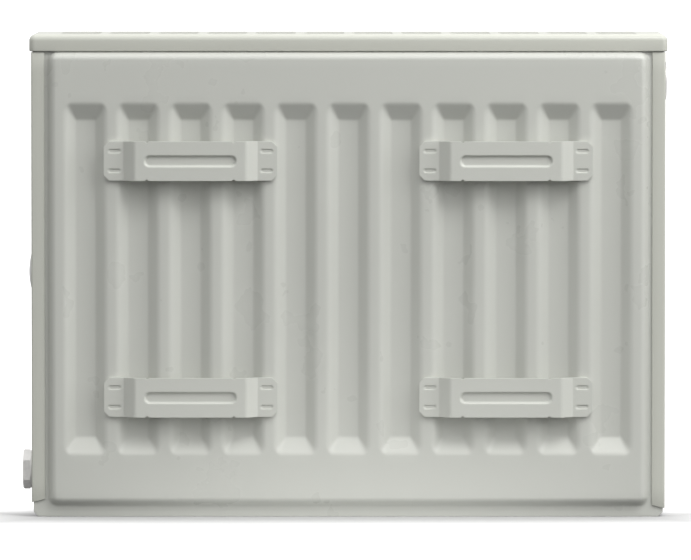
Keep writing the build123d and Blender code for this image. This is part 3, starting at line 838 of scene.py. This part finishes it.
def bump(tree, height, strength, distance):
    """The normal of a surface with this height on it."""
    node = tree.nodes.new("ShaderNodeBump")
    node.inputs["Distance"].default_value = distance
    tree.links.new(strength, node.inputs["Strength"])
    tree.links.new(height, node.inputs["Height"])
    return node.outputs["Normal"]


def sprayed_enamel_group():
    """Baked enamel: orange peel, slow tone changes and a trace of dust."""
    tree, start, end = group_tree(
        "sprayed_enamel",
        [("Colour", "NodeSocketColor", (0.6, 0.6, 0.6, 1)), ("Roughness", "NodeSocketFloat", 0.4),
         ("Peel", "NodeSocketFloat", 0.1), ("Tone change", "NodeSocketFloat", 0.04),
         ("Dust", "NodeSocketFloat", 0.3)],
        [("Colour", "NodeSocketColor"), ("Roughness", "NodeSocketFloat"), ("Normal", "NodeSocketVector")])
    slow = maths(tree, "SUBTRACT", noise(tree, 9.0, 3.0), 0.5)
    tone = maths(tree, "MULTIPLY", slow, start.outputs["Tone change"])
    dust = remap(tree, noise(tree, 420.0, 4.0, 0.6), (0.66, 0.78), (0.0, 1.0))
    settled = maths(tree, "MULTIPLY", dust, start.outputs["Dust"])
    darkening = maths(tree, "MULTIPLY", settled, DUST_DARKENS)
    level = maths(tree, "SUBTRACT", maths(tree, "ADD", tone, 1.0), darkening)
    tint = tree.nodes.new("ShaderNodeVectorMath")
    tint.operation = "SCALE"
    tree.links.new(start.outputs["Colour"], tint.inputs[0])
    tree.links.new(level, tint.inputs["Scale"])
    tree.links.new(tint.outputs["Vector"], end.inputs["Colour"])

    patches = remap(tree, noise(tree, 35.0, 3.0), (0.3, 0.7), (-ROUGHNESS_SPREAD, ROUGHNESS_SPREAD))
    rough = maths(tree, "ADD", start.outputs["Roughness"], patches)
    rough = maths(tree, "ADD", rough, maths(tree, "MULTIPLY", settled, DUST_ROUGHENS))
    tree.links.new(rough, end.inputs["Roughness"])

    peel = noise(tree, 520.0, 1.5, 0.4)
    sag = maths(tree, "MULTIPLY", noise(tree, 90.0, 1.0, 0.4), SAG_SHARE)
    normal = bump(tree, maths(tree, "ADD", peel, sag), start.outputs["Peel"], PEEL_HEIGHT)
    tree.links.new(normal, end.inputs["Normal"])


def brushed_grain_group():
    """Turned or rolled metal: fine directional scratches, as a mask, roughness and normal."""
    tree, start, end = group_tree(
        "brushed_grain",
        [("Roughness", "NodeSocketFloat", 0.3), ("Scratches", "NodeSocketFloat", 0.2)],
        [("Mask", "NodeSocketFloat"), ("Roughness", "NodeSocketFloat"), ("Normal", "NodeSocketVector")])
    place = tree.nodes.new("ShaderNodeTexCoord")
    stretch = tree.nodes.new("ShaderNodeMapping")
    stretch.inputs["Scale"].default_value = SCRATCH_SCALE
    lines = tree.nodes.new("ShaderNodeTexNoise")
    lines.inputs["Scale"].default_value = 1.0
    lines.inputs["Detail"].default_value = 3.0
    tree.links.new(place.outputs["Object"], stretch.inputs["Vector"])
    tree.links.new(stretch.outputs["Vector"], lines.inputs["Vector"])
    tree.links.new(remap(tree, noise(tree, 160.0, 4.0), (0.45, 0.75), (0.0, 1.0)), end.inputs["Mask"])
    scratches = start.outputs["Scratches"]
    rougher = maths(tree, "MULTIPLY", lines.outputs["Fac"], scratches)
    tree.links.new(maths(tree, "ADD", start.outputs["Roughness"], rougher), end.inputs["Roughness"])
    tree.links.new(bump(tree, lines.outputs["Fac"], scratches, SCRATCH_DEPTH), end.inputs["Normal"])


def grouped_material(name, group_name, colour, settings):
    """A material with a shared group in it: the material, its tree, its shader and the group's node."""
    material = bpy.data.materials.get(name) or bpy.data.materials.new(name)
    material.diffuse_color = (*colour, 1)
    tree, shader = node_tree(material)
    group = tree.nodes.new("ShaderNodeGroup")
    group.node_tree = bpy.data.node_groups[group_name]
    for label, value in settings.items():
        group.inputs[label].default_value = value
    for label in ("Roughness", "Normal"):
        tree.links.new(group.outputs[label], shader.inputs[label])
    return material, tree, shader, group


def enamel_material(name, colour, roughness, peel, tone=0.05, dust=0.3):
    """A sprayed or dipped enamel with its own colour and orange peel."""
    settings = {
        "Colour": (*colour, 1), "Roughness": roughness, "Peel": peel, "Tone change": tone, "Dust": dust}
    material, tree, shader, group = grouped_material(name, "sprayed_enamel", colour, settings)
    tree.links.new(group.outputs["Colour"], shader.inputs["Base Color"])
    shader.inputs["IOR"].default_value = 1.5
    shader.inputs["Specular IOR Level"].default_value = 0.5
    return material


def metal_material(name, colour, roughness, scratches):
    """Plated metal with fine scratches and faint stains."""
    settings = {"Roughness": roughness, "Scratches": scratches}
    material, tree, shader, group = grouped_material(name, "brushed_grain", colour, settings)
    tone = tree.nodes.new("ShaderNodeMix")
    tone.data_type = "RGBA"
    tone.inputs[6].default_value = (*colour, 1)
    tone.inputs[7].default_value = (*[c * STAIN_SHARE for c in colour], 1)
    tree.links.new(group.outputs["Mask"], tone.inputs[0])
    tree.links.new(tone.outputs[2], shader.inputs["Base Color"])
    shader.inputs["Metallic"].default_value = 1.0
    return material


class RADIATOR_OT_finishes(bpy.types.Operator):
    """Make every finish and give it to the CAD nodes that use it"""
    bl_idname = "radiator.finishes"
    bl_label = "Finishes"

    def execute(self, context):
        f = context.scene.radiator.finish
        sprayed_enamel_group()
        brushed_grain_group()
        enamels = {
            "radiator_enamel": (f.panel, f.gloss, f.peel),
            "strap_enamel": (f.strap, f.gloss + 0.04, f.peel * 1.4),
            "cover_enamel": (f.cover, f.gloss + 0.02, f.peel * 1.2),
            "convector_enamel": (f.fin, f.gloss + 0.1, f.peel, 0.1, 0.6),
            "white_plastic": (f.plastic, 0.42, f.peel * 0.5, 0.03, 0.2),
            "seal": (f.seal, 0.6, f.peel * 0.6, 0.05, 0.4),
        }
        metals = {"plug_nickel": (f.nickel, 0.28, 0.22), "spring_steel": (f.spring, 0.3, 0.3)}
        made = {name: enamel_material(name, *values) for name, values in enamels.items()}
        made |= {name: metal_material(name, *values) for name, values in metals.items()}
        slots = {part["node"]: part["material_slot"] for part in frame["record"]["subparts"]}
        for node, piece in frame["nodes"].items():
            piece.data.materials.clear()
            piece.data.materials.append(made[slots[node]])
        return {"FINISHED"}


class RADIATOR_OT_pressed_sheets(bpy.types.Operator):
    """Press the four sheets of the two water panels"""
    bl_idname = "radiator.pressed_sheets"
    bl_label = "Pressed sheets"

    def execute(self, context):
        for panel, half in SHEETS:
            pressed_sheet(context.scene.radiator.pressed, panel, half)
        return {"FINISHED"}


class RADIATOR_OT_hanging_straps(bpy.types.Operator):
    """Bend and press the four hanging straps"""
    bl_idname = "radiator.hanging_straps"
    bl_label = "Hanging straps"

    def execute(self, context):
        for level in LEVELS:
            for side in SIDES:
                hanging_strap(context.scene.radiator.strap, level, side)
        return {"FINISHED"}


class RADIATOR_OT_top_grille(bpy.types.Operator):
    """Fold and slot the top grille"""
    bl_idname = "radiator.top_grille"
    bl_label = "Top grille"

    def execute(self, context):
        top_grille(context.scene.radiator.grille)
        return {"FINISHED"}


class RADIATOR_OT_side_covers(bpy.types.Operator):
    """Fold both side covers"""
    bl_idname = "radiator.side_covers"
    bl_label = "Side covers"

    def execute(self, context):
        for side in SIDES:
            side_cover(context.scene.radiator.cover, side)
        return {"FINISHED"}


# ------------------------------------------------------------------ stage

def seen_ray(tree):
    """1 for what the camera sees, by itself or in a reflection, and 0 for soft light."""
    ray = tree.nodes.new("ShaderNodeLightPath")
    return maths(tree, "MAXIMUM", ray.outputs["Is Camera Ray"], ray.outputs["Is Glossy Ray"])


def place_parts(tree, coordinates):
    """X, Y and Z of a place, and how far it is from the origin."""
    place = tree.nodes.new("ShaderNodeTexCoord").outputs[coordinates]
    split = tree.nodes.new("ShaderNodeSeparateXYZ")
    far = tree.nodes.new("ShaderNodeVectorMath")
    far.operation = "LENGTH"
    for node in (split, far):
        tree.links.new(place, node.inputs[0])
    return *split.outputs, far.outputs["Value"]


def choose_shader(tree, chosen, other, picked, output):
    """Send one shader to the output where chosen is 0, and the picked one where it is 1."""
    choose = tree.nodes.new("ShaderNodeMixShader")
    for socket, value in zip(choose.inputs, (chosen, other, picked)):
        tree.links.new(value, socket)
    tree.links.new(choose.outputs["Shader"], output.inputs["Surface"])


def white_floor(s):
    """A wide white floor: it looks white to the camera, helped by a painted glow, and it gives back light
    mostly near the radiator.
    """
    half = s.floor_half
    mesh = bpy.data.meshes.new("floor")
    corners = [(-half, -half, 0), (half, -half, 0), (half, half, 0), (-half, half, 0)]
    mesh.from_pydata(corners, [], [(0, 1, 2, 3)])
    floor = place_mesh("floor", mesh)
    material = bpy.data.materials.new("floor_white")
    tree, shader = node_tree(material)
    x, y, _, away = place_parts(tree, "Object")
    shader.inputs["Base Color"].default_value = (s.seen_white, s.seen_white, s.seen_white, 1)
    shader.inputs["Roughness"].default_value = 0.9
    shader.inputs["Specular IOR Level"].default_value = 0.0
    shader.inputs["Emission Color"].default_value = (1, 1, 1, 1)
    # Painted glow: an emission that only the camera sees. It is none at the radiator's foot and grows in
    # front of it. It is strongest behind the radiator, where it paints over the radiator's cast shadow on the
    # floor.
    aside = maths(tree, "SUBTRACT", maths(tree, "ABSOLUTE", x), s.glow_x)
    ahead = maths(tree, "ABSOLUTE", maths(tree, "ADD", y, s.glow_y))
    reach = maths(tree, "MAXIMUM", aside, ahead)
    front = remap(tree, reach, (0.0, s.glow_reach), (s.foot_glow, s.front_glow), smooth=True)
    back = remap(tree, y, (s.back_from, s.back_to), (0.0, s.back_glow), smooth=True)
    ray = tree.nodes.new("ShaderNodeLightPath")
    glow = maths(tree, "MULTIPLY", maths(tree, "MAXIMUM", front, back), ray.outputs["Is Camera Ray"])
    tree.links.new(glow, shader.inputs["Emission Strength"])
    dim = tree.nodes.new("ShaderNodeBsdfDiffuse")
    bounce = remap(tree, away, (s.near, s.far), (s.near_bounce, s.far_bounce), smooth=True)
    tree.links.new(bounce, dim.inputs["Color"])
    output = next(n for n in tree.nodes if n.type == "OUTPUT_MATERIAL")
    choose_shader(tree, seen_ray(tree), dim.outputs["BSDF"], shader.outputs["BSDF"], output)
    mesh.materials.append(material)


def soft_sky(low, high, seen):
    """White all round: plain white to look at, and as a light softer, brightest overhead."""
    world = bpy.data.worlds.new("studio")
    bpy.context.scene.world = world
    world.use_nodes = True
    tree = world.node_tree
    tree.nodes.clear()
    output = tree.nodes.new("ShaderNodeOutputWorld")
    light = tree.nodes.new("ShaderNodeBackground")
    plain = tree.nodes.new("ShaderNodeBackground")
    for node in (light, plain):
        node.inputs["Color"].default_value = (1, 1, 1, 1)
    plain.inputs["Strength"].default_value = seen
    height = place_parts(tree, "Generated")[2]
    tree.links.new(remap(tree, height, (0.0, 1.0), (low, high)), light.inputs["Strength"])
    ray = tree.nodes.new("ShaderNodeLightPath")
    choose_shader(
        tree, ray.outputs["Is Camera Ray"], light.outputs["Background"], plain.outputs["Background"], output)


def soft_box(name, place, aim, size, power):
    """A large square area light that faces aim."""
    data = bpy.data.lights.new(name, "AREA")
    data.shape = "SQUARE"
    data.size = size
    data.energy = power
    lamp = bpy.data.objects.new(name, data)
    bpy.context.scene.collection.objects.link(lamp)
    lamp.location = place
    lamp.rotation_euler = (Vector(aim) - Vector(place)).to_track_quat("-Z", "Y").to_euler()


class RADIATOR_OT_stage(bpy.types.Operator):
    """Set the floor, the light and the camera"""
    bl_idname = "radiator.stage"
    bl_label = "Stage"

    def execute(self, context):
        s = context.scene.radiator.stage
        low, high = (Vector(corner) for corner in CAD_BOX)
        white_floor(s)
        soft_sky(s.sky_low, s.sky_high, s.sky_seen)
        middle = (low + high) / 2
        soft_box("key", middle + Vector(s.key_way) * s.light_distance, middle, s.key_size, s.key)
        soft_box("side", middle + Vector(s.side_way) * s.light_distance, middle, s.side_size, s.side)
        context.scene.view_settings.view_transform = "Standard"

        crest_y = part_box("rear_panel_outer_sheet")[0].y
        aim = Vector((s.aim_x, crest_y, s.aim_z))
        back = Vector((0, -math.cos(s.elevation), math.sin(s.elevation)))
        data = bpy.data.cameras.new("camera")
        camera = bpy.data.objects.new("camera", data)
        context.scene.collection.objects.link(camera)
        camera.location = aim + back * s.distance
        camera.rotation_euler = (-back).to_track_quat("-Z", "Y").to_euler()
        data.sensor_width = SENSOR_WIDTH
        data.lens = SENSOR_WIDTH * s.distance / s.width
        data.clip_end = 5 * s.floor_half
        context.scene.camera = camera
        return {"FINISHED"}


class RADIATOR_PT_panel(bpy.types.Panel):
    """Lists the radiator's makers in the sidebar"""
    bl_idname = "RADIATOR_PT_panel"
    bl_label = "Panel radiator"
    bl_space_type = "VIEW_3D"
    bl_region_type = "UI"
    bl_category = "Radiator"

    def draw(self, context):
        for maker in MAKERS:
            self.layout.operator(maker.bl_idname)


# ------------------------------------------------------------------ registration

SETTINGS = (
    PressedSheetSettings, StrapSettings, GrilleSettings, CoverSettings, FinishSettings, StageSettings,
    RadiatorSettings)
MAKERS = (
    RADIATOR_OT_finishes,
    RADIATOR_OT_pressed_sheets,
    RADIATOR_OT_hanging_straps,
    RADIATOR_OT_top_grille,
    RADIATOR_OT_side_covers,
    RADIATOR_OT_stage,
)


def register():
    for cls in (*SETTINGS, *MAKERS, RADIATOR_PT_panel):
        bpy.utils.register_class(cls)
    bpy.types.Scene.radiator = PointerProperty(type=RadiatorSettings)


def unregister():
    del bpy.types.Scene.radiator
    for cls in reversed((*SETTINGS, *MAKERS, RADIATOR_PT_panel)):
        bpy.utils.unregister_class(cls)


def main():
    register()
    bpy.ops.radiator.finishes()
    bpy.ops.radiator.pressed_sheets()
    bpy.ops.radiator.hanging_straps()
    bpy.ops.radiator.top_grille()
    bpy.ops.radiator.side_covers()
    bpy.ops.radiator.stage()


if __name__ == "__main__":
    main()
